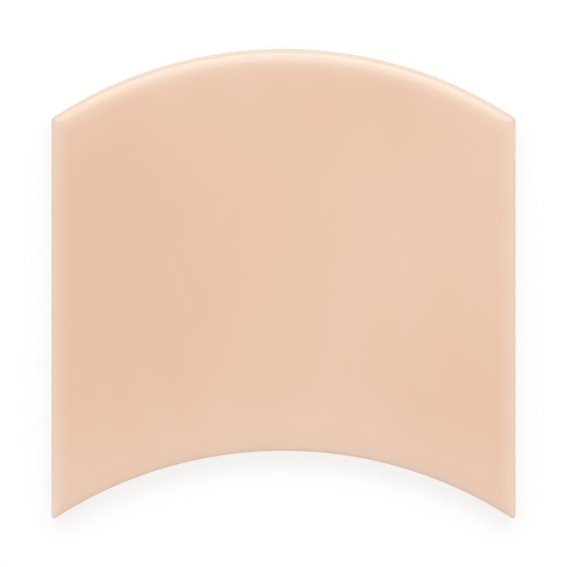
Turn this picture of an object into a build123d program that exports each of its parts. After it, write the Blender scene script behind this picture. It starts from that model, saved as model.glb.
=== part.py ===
from build123d import *
import math
import os

# Wave wall tile: one pressed, glazed and fired ceramic piece, lying on its back. Millimetres.
# The glazed face is up, +Y points to the crest of the wave and X runs from one straight side
# to the other. The origin is the middle of the bounding box, on the back.

# Outline
tile_width = 120.0  # between the two straight sides
side_length = 104.0  # of each side to its sharp corners, and from crest to valley
wave_rise = 18.0  # crest above the shoulders, and valley above the horns
corner_radius = 0.7  # of the four upright corners

# Section
tile_thickness = 8.5  # from the ribs of the back to the flat of the face
pillow_width = 5.5  # band along every edge where the face rolls down
pillow_drop = 1.6  # how far it has come down where it meets the side
back_arris = 0.6  # bevel round the foot of the sides

# Keyed back
rim_width = 7.0  # least width of the plain land round the grooves
groove_width = 7.3
rib_width = 3.6  # between grooves, with one rib on the centre line
groove_depth = 1.0
groove_draft = 20.0  # degrees, so that the press punch draws out
groove_end_radius = 1.2  # of the corners of each groove in plan

half_width = tile_width / 2
flat_edge = half_width - pillow_width
rim_height = tile_thickness - pillow_drop
wave_radius = (half_width**2 + wave_rise**2) / (2 * wave_rise)
overrun = tile_thickness  # how far the cutting profiles run past the tile


def arc_height(radius, x):
    """How far an arc of that radius stands above its centre at x."""
    return math.sqrt(radius**2 - x**2)


def roll_down(inner, start_angle, arc_size=90.0):
    """The quarter ellipse, or part of one, by which the face comes down to a side."""
    centre = (inner, rim_height)
    EllipticalCenterArc(centre, pillow_width, pillow_drop, start_angle, arc_size=arc_size)


def radial_plane(centre, angle):
    """Upright plane through an upright axis, with its x outwards at that angle."""
    across = math.radians(angle)
    outwards = (math.cos(across), math.sin(across), 0)
    return Plane(origin=centre, x_dir=outwards, z_dir=(outwards[1], -outwards[0], 0))


# Crest and valley are the same arc, one side length apart. The horns end in their corner
# radius, so the tile is a little shorter than its sharp outline.
corner_x = half_width - corner_radius
shoulder_rise = arc_height(wave_radius - corner_radius, corner_x)
horn_rise = arc_height(wave_radius + corner_radius, corner_x)
tile_height = side_length + wave_radius - horn_rise + corner_radius
crest_y = tile_height / 2
valley_y = crest_y - side_length
crest_centre = (0, crest_y - wave_radius, 0)
valley_centre = (0, valley_y - wave_radius, 0)

# Each corner arc turns from where it touches the side to where it touches the wave
shoulder_y = crest_centre[1] + shoulder_rise
shoulder_turn = math.degrees(math.atan2(shoulder_rise, corner_x))
horn_y = valley_centre[1] + horn_rise
horn_turn = 180 - math.degrees(math.atan2(horn_rise, corner_x))

# Grooves fill the outline inset by the rim, an even number so that a rib is in the middle
inset_x = half_width - rim_width
inset_crest_y = crest_centre[1] + arc_height(wave_radius - rim_width, inset_x)
inset_valley_y = valley_centre[1] + arc_height(wave_radius + rim_width, inset_x)
groove_pitch = groove_width + rib_width
grooves_each_side = int((inset_x + rib_width / 2) // groove_pitch)
groove_inset = groove_depth * math.tan(math.radians(groove_draft))

# Mouths of the grooves, along the straight sides, with ends that follow the wave
with BuildSketch() as groove_mouths:
    with GridLocations(groove_pitch, tile_height, 2 * grooves_each_side, 1):
        Rectangle(groove_width, tile_height)
    with BuildLine():
        inset_crest = ThreePointArc(
            (-inset_x, inset_crest_y), (0, crest_y - rim_width), (inset_x, inset_crest_y)
        )
        inset_valley = ThreePointArc(
            (-inset_x, inset_valley_y), (0, valley_y + rim_width), (inset_x, inset_valley_y)
        )
        Line(inset_crest @ 0, inset_valley @ 0)
        Line(inset_crest @ 1, inset_valley @ 1)
    make_face(mode=Mode.INTERSECT)
    fillet(groove_mouths.vertices(), groove_end_radius)

with BuildPart() as wave_tile:
    # Bar with the two straight sides, from the crest to below the horns
    with BuildSketch(Plane.XZ.offset(-crest_y)):
        with BuildLine():
            Polyline(
                (-half_width, rim_height),
                (-half_width, back_arris),
                (-half_width + back_arris, 0),
                (half_width - back_arris, 0),
                (half_width, back_arris),
                (half_width, rim_height),
            )
            roll_down(flat_edge, 0)
            Line((flat_edge, tile_thickness), (-flat_edge, tile_thickness))
            roll_down(-flat_edge, 90)
        make_face()
    extrude(amount=side_length + wave_rise)

    # Valley: all that is inside a concave edge
    with BuildSketch(radial_plane(valley_centre, 0)):
        with BuildLine():
            Polyline(
                (wave_radius, rim_height),
                (wave_radius, back_arris),
                (wave_radius + back_arris, 0),
                (wave_radius + back_arris, -overrun),
                (0, -overrun),
                (0, tile_thickness + overrun),
                (wave_radius + pillow_width, tile_thickness + overrun),
                (wave_radius + pillow_width, tile_thickness),
            )
            roll_down(wave_radius + pillow_width, 90)
        make_face()
    revolve(axis=Axis(valley_centre, (0, 0, 1)), revolution_arc=180, mode=Mode.SUBTRACT)

    # Crest, then shoulders and horns: all that is outside a convex edge.
    # At a corner the pillow and the arris stop where they reach the axis of the arc.
    for radius, centre, start_angle, turn in (
        (wave_radius, crest_centre, 0, 180),
        (corner_radius, (corner_x, shoulder_y, 0), 0, shoulder_turn),
        (corner_radius, (-corner_x, shoulder_y, 0), 180 - shoulder_turn, shoulder_turn),
        (corner_radius, (corner_x, horn_y, 0), -horn_turn, horn_turn),
        (corner_radius, (-corner_x, horn_y, 0), 180, horn_turn),
    ):
        inner = max(radius - pillow_width, 0)
        rolled = math.acos(1 - (radius - inner) / pillow_width)
        outer = radius + wave_rise + overrun
        foot_x = max(radius - back_arris, 0)
        foot_z = max(back_arris - radius, 0)
        with BuildSketch(radial_plane(centre, start_angle)):
            with BuildLine():
                Line((radius, back_arris), (radius, rim_height))
                roll_down(radius - pillow_width, 0, math.degrees(rolled))
                Polyline(
                    (inner, rim_height + pillow_drop * math.sin(rolled)),
                    (inner, tile_thickness + overrun),
                    (outer, tile_thickness + overrun),
                    (outer, -overrun),
                    (foot_x, -overrun),
                    (foot_x, foot_z),
                    (radius, back_arris),
                )
            make_face()
        revolve(axis=Axis(centre, (0, 0, 1)), revolution_arc=turn, mode=Mode.SUBTRACT)

    # Keyed back: each groove narrows from its mouth to its floor
    for mouth in groove_mouths.faces():
        with BuildSketch():
            add(mouth)
        with BuildSketch(Plane.XY.offset(groove_depth)):
            add(mouth)
            offset(amount=-groove_inset, mode=Mode.REPLACE)
        loft(ruled=True, mode=Mode.SUBTRACT)

wave_tile.part.label = "wave_tile"

os.makedirs("parts", exist_ok=True)
export_step(wave_tile.part, "parts/wave_tile.step")
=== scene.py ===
import math

import bpy
import numpy as np
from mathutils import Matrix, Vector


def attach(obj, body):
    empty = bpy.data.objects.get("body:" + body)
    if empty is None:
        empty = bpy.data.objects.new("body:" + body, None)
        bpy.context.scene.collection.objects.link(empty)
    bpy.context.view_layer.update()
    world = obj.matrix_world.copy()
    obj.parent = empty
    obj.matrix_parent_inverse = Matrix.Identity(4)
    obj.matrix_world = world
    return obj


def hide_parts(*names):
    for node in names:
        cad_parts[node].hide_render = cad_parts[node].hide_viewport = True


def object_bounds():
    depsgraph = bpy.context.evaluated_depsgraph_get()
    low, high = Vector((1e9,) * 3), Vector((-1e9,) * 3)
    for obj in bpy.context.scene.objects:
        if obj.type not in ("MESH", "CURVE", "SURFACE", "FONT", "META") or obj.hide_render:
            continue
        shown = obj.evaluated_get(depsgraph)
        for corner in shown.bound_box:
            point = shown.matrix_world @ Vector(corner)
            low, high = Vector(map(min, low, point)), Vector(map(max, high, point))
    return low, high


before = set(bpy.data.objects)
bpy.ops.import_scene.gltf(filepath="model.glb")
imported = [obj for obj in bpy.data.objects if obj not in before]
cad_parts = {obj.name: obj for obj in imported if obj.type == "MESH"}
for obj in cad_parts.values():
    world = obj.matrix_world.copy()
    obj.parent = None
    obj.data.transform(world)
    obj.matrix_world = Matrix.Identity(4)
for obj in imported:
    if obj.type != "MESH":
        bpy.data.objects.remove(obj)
cadLow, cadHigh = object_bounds()
mm = 0.001  # shapes are worked out in millimetres, and meshes hold metres
tiny = 1e-9  # keeps a divisor from being nothing
print("frame loaded with", sorted(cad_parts))


# Shader maths: a Wire holds one output socket, and an expression on Wires adds Math nodes
class Wire:
    def __init__(self, socket):
        self.socket = socket

    # one of a node's sockets: by number, or the first one in use with that name
    @staticmethod
    def pick(group, key):
        if isinstance(key, int):
            return group[key]
        return next(socket for socket in group if socket.name == key and socket.enabled)

    # any node: its type, its settings, which are set first, and the values or links of its sockets
    @staticmethod
    def node(tree, kind, settings=(), sockets=(), output=0):
        made = tree.nodes.new(kind)
        for name, value in dict(settings).items():
            setattr(made, name, value)
        for name, value in dict(sockets).items():
            socket = Wire.pick(made.inputs, name)
            if isinstance(value, Wire):
                tree.links.new(value.socket, socket)
            else:
                socket.default_value = value
        return Wire(Wire.pick(made.outputs, output)) if made.outputs else None

    def maths(self, operation, first, second):
        tree = self.socket.id_data
        return Wire.node(tree, "ShaderNodeMath", {"operation": operation}, {0: first, 1: second})

    def __add__(self, other):
        return self.maths("ADD", self, other)

    def __mul__(self, other):
        return self.maths("MULTIPLY", self, other)

    def __sub__(self, other):
        return self.maths("SUBTRACT", self, other)

    def __rsub__(self, other):
        return self.maths("SUBTRACT", other, self)

    __radd__ = __add__
    __rmul__ = __mul__

    def rise(self, low, high):  # 0 up to low, 1 from high on, s-shaped between
        return Wire.node(
            self.socket.id_data, "ShaderNodeMapRange", {"interpolation_type": "SMOOTHSTEP"},
            {"Value": self, "From Min": low, "From Max": high},
        )


# The tile, in millimetres where a note says nothing else
tile = {
    # outline and edges
    "waveRise": 18.0,  # crest above the shoulders, and valley above the horns
    "cornerRadius": 0.7,  # of the four upright corners
    "pillowWidth": 5.5,  # band where the face rolls down to the sides
    "pillowDrop": 1.6,  # how far it comes down there
    "hipPower": 4.0,  # how crisply two rolled edges meet at a corner
    "arris": 0.6,  # bevel round the foot of the sides
    "arrisWander": 0.06,  # raggedness of that bevel
    "arrisTurns": (31, 53, 83, 127),  # its waves, each by how often it repeats round the tile
    # back
    "rimWidth": 7.0,  # plain land round the grooves
    "grooveWidth": 7.3,
    "ribWidth": 3.6,
    "grooveDepth": 1.0,
    "grooveDraft": 20.0,  # degrees
    "grooveCorner": 1.2,  # of each groove in plan
    "ribRounding": 0.1,  # where ribs and groove floors begin and end
    "backDust": 0.02,  # share of glaze dust that it caught
    # coat of glaze on the face: a pair is the share of it that is missing on an edge, and the width of the
    # band in which it gets whole
    "rippleHeight": 0.03,  # slow waves of the fired glaze
    "rippleLengths": (64, 45, 33, 25, 19),
    "sideThin": (0.48, 4.8),
    # along the crest: thin glaze, and partly a painted highlight on the edge that faces the lamps
    "crestThinAndHighlight": (0.7, 7.0),
    "crestHighlightTaper": 0.25,  # how much less of it is missing at the ends of the crest than in the middle: a painted highlight, weaker where the edge turns away from the light above
    "crestPale": (0.12, 18.0),  # a slower thinning towards the crest
    "valleyThin": (0.2, 4.8),
    "valleyPale": (0.2, 24.0),  # and towards the valley
    # coat of glaze on the sides: shares are of the way down from the face's edge to the glaze's border
    "glazeSkin": 0.12,  # how far the glaze stands out from the raw body
    "glazeLine": 3.2,  # mean height of its border
    "glazeWander": 0.55,  # how far that border strays up and down
    "glazeTurns": (5, 9, 14, 23, 37, 61),  # its waves, as for the arris
    "wallThin": 0.5,  # share at which the glaze is whole again
    "hollowDepth": 0.3,  # how far the coat sinks in above the border, as a share of the skin
    "hollowSpan": (0.3, 0.55),  # shares between which it is that deep
    "beadStart": 0.9,  # share where the hollow ends and the bead rounds in to the body
    "dust": (0.3, 0.6),  # share of glaze dust just below the border, and the depth over which it fades
    # mesh
    "edgeSteps": 20,  # across the band along each edge
    "middleSteps": 64,  # between the bands of valley and crest
    "wallSteps": 5,  # down a groove's wall
    "cornerSteps": (0.7, 1.0),  # in a groove's corner, as shares of its radius
    "glazeRows": (0.1, 0.25, 0.42, 0.58, 0.72, 0.84, 0.92, 0.97, 1.0),  # on the sides, down to the border
    "bareRows": (0.05, 0.2, 0.45, 0.75, 0.95, 1.0),  # and from there to the arris
    "sharpAngle": 50.0,  # degrees between two faces, past which the edge they share is shaded sharp
    "seed": 12,
}

halfWidth = cadHigh.x / mm
crestY = cadHigh.y / mm
thickness = cadHigh.z / mm
rimHeight = thickness - tile["pillowDrop"]
waveRadius = (halfWidth**2 + tile["waveRise"] ** 2) / (2 * tile["waveRise"])
crestCentre = crestY - waveRadius
hornRise = math.sqrt((waveRadius + tile["cornerRadius"]) ** 2 - (halfWidth - tile["cornerRadius"]) ** 2)
valleyCentre = cadLow.y / mm + tile["cornerRadius"] - hornRise
groovePitch = tile["grooveWidth"] + tile["ribWidth"]
groovesEachSide = int((halfWidth - tile["rimWidth"] + tile["ribWidth"] / 2) // groovePitch)
grooveInset = tile["grooveDepth"] * math.tan(math.radians(tile["grooveDraft"]))
draws = np.random.default_rng(tile["seed"])


def rise(value, low, high):  # 0 up to low, 1 from high on, s-shaped between
    share = np.clip((value - low) / (high - low), 0, 1)
    return share * share * (3 - 2 * share)


# Sum of slow sine waves in random directions, scaled to lie between -1 and 1
def ripple(x, y):
    total = 0
    for length in tile["rippleLengths"]:
        heading, phase = draws.uniform(0, 2 * math.pi, 2)
        along = x * math.cos(heading) + y * math.sin(heading)
        total = total + length * np.sin(2 * math.pi * along / length + phase)
    return total / np.abs(total).max()


# Sum of sine waves round a closed loop, scaled to lie between -1 and 1; share goes from 0 to 1 round it
def wander(share, turns):
    total = 0
    for count in turns:
        phase = draws.uniform(0, 2 * math.pi)
        total = total + np.sin(2 * math.pi * count * share + phase) / math.sqrt(count)
    return total / np.abs(total).max()


# Pulls the sharp corner of a loop in to an arc. Along each ray from the arc's centre, the larger of the
# distances towards the two sides becomes the true distance, and this fades out by twice the radius.
def roundCorner(x, y, centre, normalA, normalB, radius):
    qx = x - centre[0]
    qy = y - centre[1]
    square = np.maximum(qx * normalA[0] + qy * normalA[1], qx * normalB[0] + qy * normalB[1])
    turn = normalA[0] * normalB[1] - normalA[1] * normalB[0]
    afterA = (normalA[0] * qy - normalA[1] * qx) * turn > 0
    beforeB = (qx * normalB[1] - qy * normalB[0]) * turn > 0
    pull = np.where(afterA & beforeB, square / np.maximum(np.hypot(qx, qy), tiny), 1)
    scale = pull + (1 - pull) * rise(square, radius, 2 * radius)
    return centre[0] + qx * scale, centre[1] + qy * scale


# Corner between a wall at sideX and an arc that keeps an inset from the crest, or from the valley:
# the centre of its rounding and the outward directions of its two sides
def waveCorner(sideX, outwards, inset, radius, atCrest):
    x = sideX - outwards * radius
    reach = waveRadius - inset - radius if atCrest else waveRadius + inset + radius
    middle = crestCentre if atCrest else valleyCentre
    y = middle + math.sqrt(reach**2 - x**2)
    sign = 1 if atCrest else -1
    return (x, y), (outwards, 0), (sign * x / reach, sign * (y - middle) / reach)


# Middle of a groove. Grooves are counted from the tile's middle line, where there is a rib.
def grooveMiddle(number):
    return (number + 0.5) * groovePitch


# Distances from a groove's wall, positive inside the groove, at which its profile needs points
rounding = tile["ribRounding"]
wallStations = np.concatenate([
    np.linspace(-rounding, grooveInset + rounding, tile["wallSteps"]),
    np.array(tile["cornerSteps"]) * tile["grooveCorner"],
])
edgeShare = 1 - np.cos(np.linspace(0, math.pi / 2, tile["edgeSteps"] + 1))  # close together at the edge


# Columns across the tile: x from side to side, starting and ending at an inset from the straight sides
def columns(inset):
    halfGroove = tile["grooveWidth"] / 2
    inGroove = halfGroove / 3
    onRib = halfGroove + tile["ribWidth"] / 4
    cell = np.concatenate([[0, inGroove], halfGroove - wallStations[::-1], [onRib]])
    cell = np.concatenate([-cell[:0:-1], cell, [groovePitch / 2]])
    half = np.concatenate([[0]] + [grooveMiddle(number) + cell for number in range(groovesEachSide)])
    lastWall = groovesEachSide * groovePitch - tile["ribWidth"] / 2 + rounding
    half = half[half < lastWall + rounding]
    edge = halfWidth - inset - edgeShare * (halfWidth - inset - half[-1])
    half = np.concatenate([half[:-1], edge[::-1]])
    return np.concatenate([-half[:0:-1], half])


# Rows along the tile: arcs concentric with the valley, then with the crest, and even steps between
def rowHeights(x, inset):
    innermost = tile["rimWidth"] - rounding
    edge = inset + edgeShare * (innermost - inset)
    band = np.concatenate([edge[:-1], tile["rimWidth"] + wallStations])[:, None]
    valleyRows = valleyCentre + np.sqrt((waveRadius + band) ** 2 - x**2)
    crestRows = crestCentre + np.sqrt((waveRadius - band) ** 2 - x**2)
    share = np.linspace(0, 1, tile["middleSteps"] + 1)[1:-1, None]
    middleRows = valleyRows[-1:] * (1 - share) + crestRows[-1:] * share
    return np.concatenate([valleyRows, middleRows, crestRows[::-1]])


# Plan of a grid at an inset from the outline: x, y, and the distances from side, crest and valley,
# taken before the corners are rounded so that they don't change along an edge
def plan(inset):
    x = columns(inset)[None, :]
    y = rowHeights(x, inset)
    x = np.broadcast_to(x, y.shape)
    fromSide = halfWidth - np.abs(x)
    fromCrest = waveRadius - np.hypot(x, y - crestCentre)
    fromValley = np.hypot(x, y - valleyCentre) - waveRadius
    for outwards in (-1, 1):
        for atCrest in (True, False):
            corner = waveCorner(outwards * halfWidth, outwards, 0, tile["cornerRadius"], atCrest)
            x, y = roundCorner(x, y, *corner, tile["cornerRadius"])
    return x, y, fromSide, fromCrest, fromValley


# Share of the glaze that is missing at a distance from an edge: most on the edge, and none past its band
def thinned(distance, edge):
    share, band = tile[edge]
    return share * (1 - rise(distance, 0, band))


# Glazed face: flat in the middle, and along every edge a quarter ellipse of the distance from the edge.
# Distances from side and wave are joined by a soft minimum, so the hips at the corners are rounded.
def glazedFace():
    x, y, fromSide, fromCrest, fromValley = plan(0)
    fromWave = np.minimum(fromCrest, fromValley)
    power = tile["hipPower"]
    near = np.maximum(np.minimum(fromSide, fromWave), 0)
    far = np.maximum(np.maximum(fromSide, fromWave), tiny)
    fromEdge = near / (1 + (near / far) ** power) ** (1 / power)
    share = np.clip(fromEdge / tile["pillowWidth"], 0, 1)
    z = rimHeight + tile["pillowDrop"] * np.sqrt(1 - (1 - share) ** 2)
    z = z + tile["rippleHeight"] * (ripple(x, y) - 1) * share

    # paler band along the crest: partly thin glaze, partly a painted highlight, which tapers towards the
    # crest's ends
    crestMissingAndHighlight = thinned(fromCrest, "crestThinAndHighlight") * (1 - tile["crestHighlightTaper"] * (x / halfWidth) ** 2)
    missing = np.maximum(thinned(fromSide, "sideThin"), crestMissingAndHighlight)
    missing = np.maximum(missing, thinned(fromValley, "valleyThin"))
    missing = missing + thinned(fromCrest, "crestPale") + thinned(fromValley, "valleyPale")
    return np.stack([x, y, z], -1), 1 - missing


# Keyed back: flat land with grooves, whose depth is an s-shaped rise of the distance inside their mouths
def keyedBack():
    x, y, _, fromCrest, fromValley = plan(tile["arris"])
    fromWave = np.minimum(fromCrest, fromValley)
    nearest = np.minimum(np.abs(x) // groovePitch, groovesEachSide - 1)
    insideWall = tile["grooveWidth"] / 2 - np.abs(np.abs(x) - grooveMiddle(nearest))
    inside = np.minimum(insideWall, fromWave - tile["rimWidth"])
    z = tile["grooveDepth"] * rise(inside, -rounding, grooveInset + rounding)
    for number in range(-groovesEachSide, groovesEachSide):
        for outwards in (-1, 1):
            wall = grooveMiddle(number) + outwards * tile["grooveWidth"] / 2
            for atCrest in (True, False):
                corner = waveCorner(wall, outwards, tile["rimWidth"], tile["grooveCorner"], atCrest)
                x, y = roundCorner(x, y, *corner, tile["grooveCorner"])
    return np.stack([x, y, z], -1)


# Sides: a profile of heights and insets carried round the edge of the face. The glaze runs over the edge,
# ends in a bead along a wandering border, and below it the raw body goes down to the arris.
def sideRows(edge, edgeCoverAndHighlight):
    step = np.roll(edge, -1, 0) - edge
    length = np.linalg.norm(step, axis=1)
    ahead = step / length[:, None]
    along = ahead + np.roll(ahead, 1, 0)
    along = along / np.linalg.norm(along, axis=1)[:, None]
    outwards = np.stack([along[:, 1], -along[:, 0]], -1)
    share = (np.cumsum(length) - length) / length.sum()
    border = tile["glazeLine"] + tile["glazeWander"] * wander(share, tile["glazeTurns"])
    foot = tile["arris"] + tile["arrisWander"] * wander(share, tile["arrisTurns"])

    down = np.array(tile["glazeRows"])[:, None]
    deepFrom, deepTo = tile["hollowSpan"]
    hollow = rise(down, 0, deepFrom) * (1 - rise(down, deepTo, tile["beadStart"]))
    bead = np.clip((down - tile["beadStart"]) / (1 - tile["beadStart"]), 0, 1)
    glazeInset = tile["glazeSkin"] * (tile["hollowDepth"] * hollow + 1 - np.sqrt(1 - bead**2))
    glazeHeight = rimHeight + (border - rimHeight) * down
    # the face's edge share, with the crest's painted highlight, fades out down the wall
    glazeCoverAndHighlight = 1 - (1 - edgeCoverAndHighlight) * (1 - rise(down, 0, tile["wallThin"]))

    bareHeight = border + (foot - border) * np.array(tile["bareRows"])[:, None]
    bareInset = np.full_like(bareHeight, tile["glazeSkin"])
    dustShare, dustDepth = tile["dust"]
    bareCover = dustShare * np.exp((bareHeight - border) / dustDepth)

    height = np.concatenate([glazeHeight, bareHeight])
    inset = np.concatenate([np.broadcast_to(glazeInset, glazeHeight.shape), bareInset])
    cover = np.concatenate([glazeCoverAndHighlight, bareCover])
    xy = edge[None] - inset[..., None] * outwards[None]
    return np.concatenate([xy, height[..., None]], -1), cover


# Vertex numbers round the border of a grid, counter-clockwise seen from above
def borderOf(numbers):
    return np.concatenate([numbers[0, :-1], numbers[:-1, -1], numbers[-1, :0:-1], numbers[:0:-1, 0]])


# Four-cornered faces of a grid, counter-clockwise where its columns go right and its rows go up
def quads(numbers):
    corners = [numbers[:-1, :-1], numbers[:-1, 1:], numbers[1:, 1:], numbers[1:, :-1]]
    return np.stack(corners, -1).reshape(-1, 4)


# One closed mesh: a grid for the face, one for the back, and rings of side points between their borders
def makeTile(glazeMaterial, bodyMaterial):
    facePoints, faceCoverAndHighlight = glazedFace()
    backPoints = keyedBack()
    count = faceCoverAndHighlight.size
    faceNumbers = np.arange(count).reshape(faceCoverAndHighlight.shape)
    backNumbers = faceNumbers + count
    border = borderOf(faceNumbers)
    edge = facePoints.reshape(-1, 3)[border, :2]
    sidePoints, sideCover = sideRows(edge, faceCoverAndHighlight.ravel()[border])
    sideNumbers = 2 * count + np.arange(sideCover.size).reshape(sideCover.shape)
    rings = np.concatenate([border[None], sideNumbers, borderOf(backNumbers)[None]])
    rings = np.concatenate([rings, rings[:, :1]], 1)

    points = np.concatenate([grid.reshape(-1, 3) for grid in (facePoints, backPoints, sidePoints)])
    cover = np.concatenate([faceCoverAndHighlight.ravel(), np.full(count, tile["backDust"]), sideCover.ravel()])
    faceQuads = quads(faceNumbers)
    sideQuads = quads(rings)[:, ::-1]
    backQuads = quads(backNumbers)[:, ::-1]
    corners = np.concatenate([faceQuads, sideQuads, backQuads])
    bare = np.ones(len(corners), np.int32)
    bare[: len(faceQuads) + len(tile["glazeRows"]) * len(edge)] = 0

    mesh = bpy.data.meshes.new("waveTile")
    mesh.from_pydata((points * mm).tolist(), [], corners.tolist())
    mesh.materials.append(glazeMaterial)
    mesh.materials.append(bodyMaterial)
    mesh.polygons.foreach_set("material_index", bare)
    mesh.polygons.foreach_set("use_smooth", np.ones(len(corners), bool))
    # glaze share per point; along the crest it is also lowered for a painted highlight
    attribute = mesh.attributes.new("glaze", "FLOAT", "POINT")
    attribute.data.foreach_set("value", cover.astype(np.float32))
    mesh.set_sharp_from_angle(angle=math.radians(tile["sharpAngle"]))
    mesh.update()
    piece = bpy.data.objects.new("wave_tile_glazed", mesh)
    bpy.context.scene.collection.objects.link(piece)
    print("tile:", len(points), "points,", 2 * len(corners), "triangles")
    return piece


# A new finish: its material, the empty node tree of it, and the object coordinates that patterns lie in
def newFinish(name):
    material = bpy.data.materials.new(name)
    material.use_nodes = True
    tree = material.node_tree
    tree.nodes.clear()
    return material, tree, Wire.node(tree, "ShaderNodeTexCoord", output="Object")


def glazeShare(tree):  # how much of the glaze there is, from the mesh; along the crest it is lowered for a painted highlight too
    return Wire.node(tree, "ShaderNodeAttribute", {"attribute_name": "glaze"}, output="Fac")


def noise(tree, coords, size, detail):  # size of the blotches in millimetres
    sockets = {"Vector": coords, "Scale": 1 / (size * mm), "Detail": detail}
    return Wire.node(tree, "ShaderNodeTexNoise", sockets=sockets)


def swing(pattern, width):  # a noise about its middle, which is a half
    return (pattern - 0.5) * width


def blend(tree, share, first, second):
    sockets = {"Factor": share, "A": first, "B": second}
    return Wire.node(tree, "ShaderNodeMix", {"data_type": "RGBA"}, sockets, "Result")


def relief(tree, pattern, height):  # height in millimetres
    sockets = {"Strength": 1.0, "Distance": height * mm, "Height": pattern}
    return Wire.node(tree, "ShaderNodeBump", sockets=sockets)


def closeFinish(tree, sockets):
    shader = Wire.node(tree, "ShaderNodeBsdfPrincipled", sockets=sockets)
    Wire.node(tree, "ShaderNodeOutputMaterial", sockets={"Surface": shader})


# Glaze on the face and the upper sides; sizes and heights in millimetres
glazeFinish = {
    "peach": (0.836, 0.572, 0.425, 1),
    "blush": (0.808, 0.508, 0.362, 1),
    "cream": (0.880, 0.735, 0.600, 1),  # where the glaze is thin, and along the crest a painted highlight too
    "cloudSize": 65.0,
    "cloudPlace": (0.061, -0.057, 0.062),  # slides the clouds about, in metres
    "cloudTurn": 41.0,  # degrees, so that the noise's own grid doesn't line up with the sides
    "cloudStretch": 0.46,  # clouds are longer along the straight sides, the way the glaze was laid on
    "drift": 0.3,  # more blush towards one side, for each metre
    "mottlesPerCloud": 6,  # how many smaller blotches go across a cloud
    "mottleShare": 0.12,  # how much they count beside the clouds
    "thinMottle": 0.12,  # how much they break up the thin edges
    "blushFrom": (0.28, 0.72),  # where in the noise the blush begins, and is full
    "roughness": 0.22,
    "roughnessSwing": 0.08,
    "smearSize": 1.1,  # of the patches of roughness
    "coat": 0.3,
    "coatRoughness": 0.08,
    "peelSize": 2.4,
    "peelHeight": 0.004,
}


def peachGlaze():
    material, tree, coords = newFinish("peachGlaze")
    laid = Wire.node(tree, "ShaderNodeMapping", sockets={
        "Vector": coords,
        "Location": glazeFinish["cloudPlace"],
        "Rotation": (0, 0, math.radians(glazeFinish["cloudTurn"])),
        "Scale": (1, glazeFinish["cloudStretch"], 1),
    })
    across = Wire.node(tree, "ShaderNodeSeparateXYZ", sockets={"Vector": coords}, output="X")
    cloud = noise(tree, laid, glazeFinish["cloudSize"], detail=1.0)
    mottle = noise(tree, laid, glazeFinish["cloudSize"] / glazeFinish["mottlesPerCloud"], detail=2.0)
    smear = noise(tree, coords, glazeFinish["smearSize"], detail=2.0)
    peel = noise(tree, coords, glazeFinish["peelSize"], detail=1.0)
    clouds = cloud * (1 - glazeFinish["mottleShare"]) + mottle * glazeFinish["mottleShare"]
    pink = (clouds - across * glazeFinish["drift"]).rise(*glazeFinish["blushFrom"])
    body = blend(tree, pink, glazeFinish["peach"], glazeFinish["blush"])
    # cream where the glaze is thin, and along the crest also as a painted highlight
    cover = glazeShare(tree) + swing(mottle, glazeFinish["thinMottle"])
    closeFinish(tree, {
        "Base Color": blend(tree, cover, glazeFinish["cream"], body),
        "Roughness": glazeFinish["roughness"] + swing(smear, glazeFinish["roughnessSwing"]),
        "Normal": relief(tree, peel, glazeFinish["peelHeight"]),
        "Coat Weight": glazeFinish["coat"],
        "Coat Roughness": glazeFinish["coatRoughness"],
    })
    return material


# Unglazed body on the lower sides and the back; sizes and heights in millimetres
bodyFinish = {
    "clay": (0.80, 0.67, 0.555, 1),
    "pale": (0.85, 0.745, 0.64, 1),
    "patchSize": 14.0,
    "paleFrom": (0.35, 0.65),  # where in the noise the clay begins to be pale, and is
    "wash": (0.87, 0.82, 0.76, 1),  # kiln wash, rolled on to what stands on the kiln's rollers
    "washHeight": (0.03, 0.3),  # above the floor, where it begins to give out, and ends
    "washShare": 0.7,  # how much of the body it covers where it took
    "washSize": 4.5,
    "washStretch": 0.3,  # its streaks are longer along the ribs
    "washFrom": (0.34, 0.58),
    "grit": (0.50, 0.39, 0.29, 1),
    "gritSize": 0.7,
    "gritFrom": (0.71, 0.77),
    "gritShare": 0.5,
    "dust": (0.83, 0.58, 0.44, 1),  # glaze that settled below the border
    "dustSwing": 0.15,
    "dustFrom": (0.05, 0.35),  # share of glaze at which it begins to show, and is full
    "roughness": 0.85,
    "roughnessSwing": 0.2,
    "grainSize": 0.5,
    "grainHeight": 0.02,
}


def rawBody():
    material, tree, coords = newFinish("rawBody")
    above = Wire.node(tree, "ShaderNodeSeparateXYZ", sockets={"Vector": coords}, output="Z")
    streaks = Wire.node(tree, "ShaderNodeMapping", sockets={
        "Vector": coords,
        "Scale": (1, bodyFinish["washStretch"], 1),
    })
    patch = noise(tree, coords, bodyFinish["patchSize"], detail=4.0)
    grain = noise(tree, coords, bodyFinish["grainSize"], detail=3.0)
    grit = noise(tree, coords, bodyFinish["gritSize"], detail=1.0).rise(*bodyFinish["gritFrom"])
    took = noise(tree, streaks, bodyFinish["washSize"], detail=5.0).rise(*bodyFinish["washFrom"])
    washed = 1 - above.rise(*[height * mm for height in bodyFinish["washHeight"]])
    dusty = (glazeShare(tree) + swing(grain, bodyFinish["dustSwing"])).rise(*bodyFinish["dustFrom"])
    colour = blend(tree, patch.rise(*bodyFinish["paleFrom"]), bodyFinish["clay"], bodyFinish["pale"])
    colour = blend(tree, washed * took * bodyFinish["washShare"], colour, bodyFinish["wash"])
    colour = blend(tree, grit * bodyFinish["gritShare"], colour, bodyFinish["grit"])
    closeFinish(tree, {
        "Base Color": blend(tree, dusty, colour, bodyFinish["dust"]),
        "Roughness": bodyFinish["roughness"] + swing(grain, bodyFinish["roughnessSwing"]),
        "Normal": relief(tree, grain, bodyFinish["grainHeight"]),
    })
    return material


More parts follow.
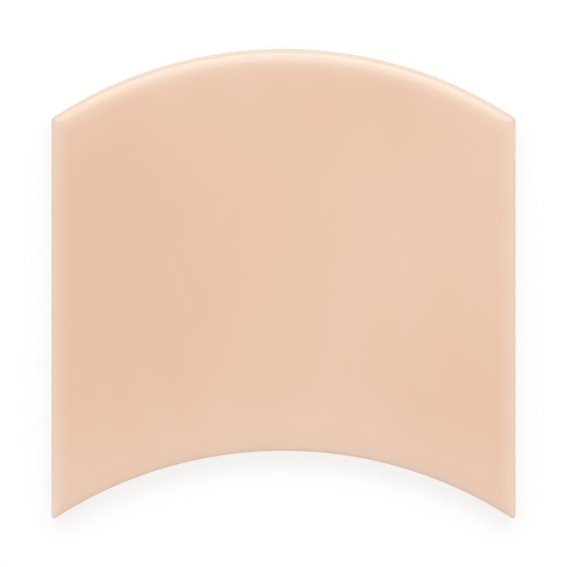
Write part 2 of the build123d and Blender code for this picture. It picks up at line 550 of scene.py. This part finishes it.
# Studio: white floor that keeps the shadow, even light from all round, and a strip light and a softbox
# beyond the crest; in metres, watts and degrees, and the lens in millimetres
studio = {
    "ambient": 0.72,
    "floorBounce": 0.85,  # grey of the floor for the light that it throws back
    "floorGrey": 0.32,  # grey that the camera sees, and the glow that makes it white
    "floorGlow": 0.69,
    "floorSize": 3.0,
    "floorDrop": 0.00002,  # how far it is below the tile
    "floorFade": (0.3, 0.9),  # from the tile, where it begins to turn plain white, and is
    "lightAway": 3.0,  # how far both lights are from the tile
    "strip": {"tilt": 40.0, "size": (2.4, 0.56), "power": 5.5},  # tilt from straight above
    "softbox": {"tilt": 33.0, "size": (5.0, 1.4), "power": 35.4},
    "lens": 200.0,
    "sensor": 36.0,
    "fill": 0.82,  # share of the picture's width that the tile takes
}


# 1 for what the camera sees straight on, in a gloss or through glass
def seen(tree):
    rays = ("Is Camera Ray", "Is Glossy Ray", "Is Transmission Ray")
    straight, gloss, glass = [Wire.node(tree, "ShaderNodeLightPath", output=ray) for ray in rays]
    return (straight + gloss + glass).rise(0, 1)


def makeFloor():
    half = studio["floorSize"] / 2
    low = -studio["floorDrop"]
    corners = [(-half, -half, low), (half, -half, low), (half, half, low), (-half, half, low)]
    mesh = bpy.data.meshes.new("floor")
    mesh.from_pydata(corners, [], [(0, 1, 2, 3)])
    material, tree, coords = newFinish("floor")
    shown = seen(tree)
    grey = studio["floorBounce"] - shown * (studio["floorBounce"] - studio["floorGrey"])
    matte = Wire.node(tree, "ShaderNodeBsdfDiffuse", sockets={"Color": grey})
    glow = Wire.node(tree, "ShaderNodeEmission", sockets={"Strength": shown * studio["floorGlow"]})
    both = Wire.node(tree, "ShaderNodeAddShader", sockets={0: matte, 1: glow})
    white = Wire.node(tree, "ShaderNodeEmission", sockets={"Strength": 1.0})
    reach = Wire.node(tree, "ShaderNodeVectorMath", {"operation": "LENGTH"}, {0: coords}, "Value")
    fade = reach.rise(*studio["floorFade"])
    surface = Wire.node(tree, "ShaderNodeMixShader", sockets={"Fac": fade, 1: both, 2: white})
    Wire.node(tree, "ShaderNodeOutputMaterial", sockets={"Surface": surface})
    mesh.materials.append(material)
    floor = bpy.data.objects.new("floor", mesh)
    bpy.context.scene.collection.objects.link(floor)


def makeLight():
    world = bpy.data.worlds.new("studio")
    world.use_nodes = True
    tree = world.node_tree
    tree.nodes.clear()
    strength = studio["ambient"] + seen(tree) * (1 - studio["ambient"])
    sky = Wire.node(tree, "ShaderNodeBackground", sockets={"Color": (1, 1, 1, 1), "Strength": strength})
    Wire.node(tree, "ShaderNodeOutputWorld", sockets={"Surface": sky})
    bpy.context.scene.world = world
    away = studio["lightAway"]
    for name in ("strip", "softbox"):
        light = bpy.data.lights.new(name, "AREA")
        light.shape = "RECTANGLE"
        light.size, light.size_y = studio[name]["size"]
        light.energy = studio[name]["power"]
        lamp = bpy.data.objects.new(name, light)
        tilt = math.radians(studio[name]["tilt"])
        lamp.location = (0, away * math.sin(tilt), away * math.cos(tilt))
        lamp.rotation_euler = (-tilt, 0, 0)  # facing the tile
        bpy.context.scene.collection.objects.link(lamp)


def makeCamera():
    data = bpy.data.cameras.new("camera")
    data.lens = studio["lens"]
    data.sensor_width = studio["sensor"]
    camera = bpy.data.objects.new("camera", data)
    view = (cadHigh.x - cadLow.x) / studio["fill"]
    away = view * studio["lens"] / studio["sensor"]
    camera.location = (0, (cadLow.y + cadHigh.y) / 2, cadHigh.z + away)
    bpy.context.scene.collection.objects.link(camera)
    bpy.context.scene.camera = camera


finishes = [peachGlaze(), rawBody()]
print("finishes:", [finish.name for finish in finishes])

tileObject = makeTile(*finishes)
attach(tileObject, "root")
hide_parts("wave_tile")

makeFloor()
makeLight()
makeCamera()
bpy.context.scene.view_settings.view_transform = "Standard"
print("studio ready")
